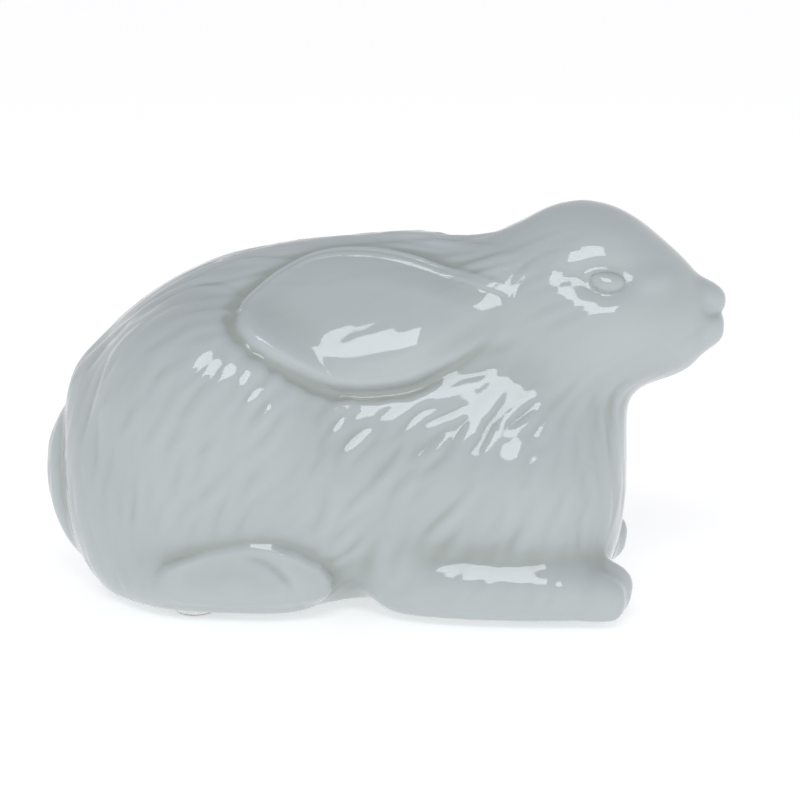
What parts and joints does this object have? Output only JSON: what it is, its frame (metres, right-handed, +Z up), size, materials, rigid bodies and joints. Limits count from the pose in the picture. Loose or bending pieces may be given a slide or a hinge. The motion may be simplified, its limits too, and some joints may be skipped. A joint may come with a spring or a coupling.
{
  "type": "ceramic rabbit figurine",
  "caption": "Glazed ceramic figurine of a crouching rabbit with its ears laid back and combed fur in low relief, standing on clear bumper pads.",
  "frame": {"origin": "on the surface it stands on, under the middle of the bounding box", "axes": "+X towards the rabbit's nose, +Y to the rabbit's left, +Z up"},
  "size_m": [0.18, 0.0804, 0.1069],
  "materials": {
    "glaze": "gloss glaze",
    "clear_rubber": "clear"
  },
  "bodies": {
    "root": {"rabbit": "glaze", "bumper_pad_front_left": "clear_rubber", "bumper_pad_front_right": "clear_rubber", "bumper_pad_rear_left": "clear_rubber", "bumper_pad_rear_right": "clear_rubber"}
  },
  "joints": []
}
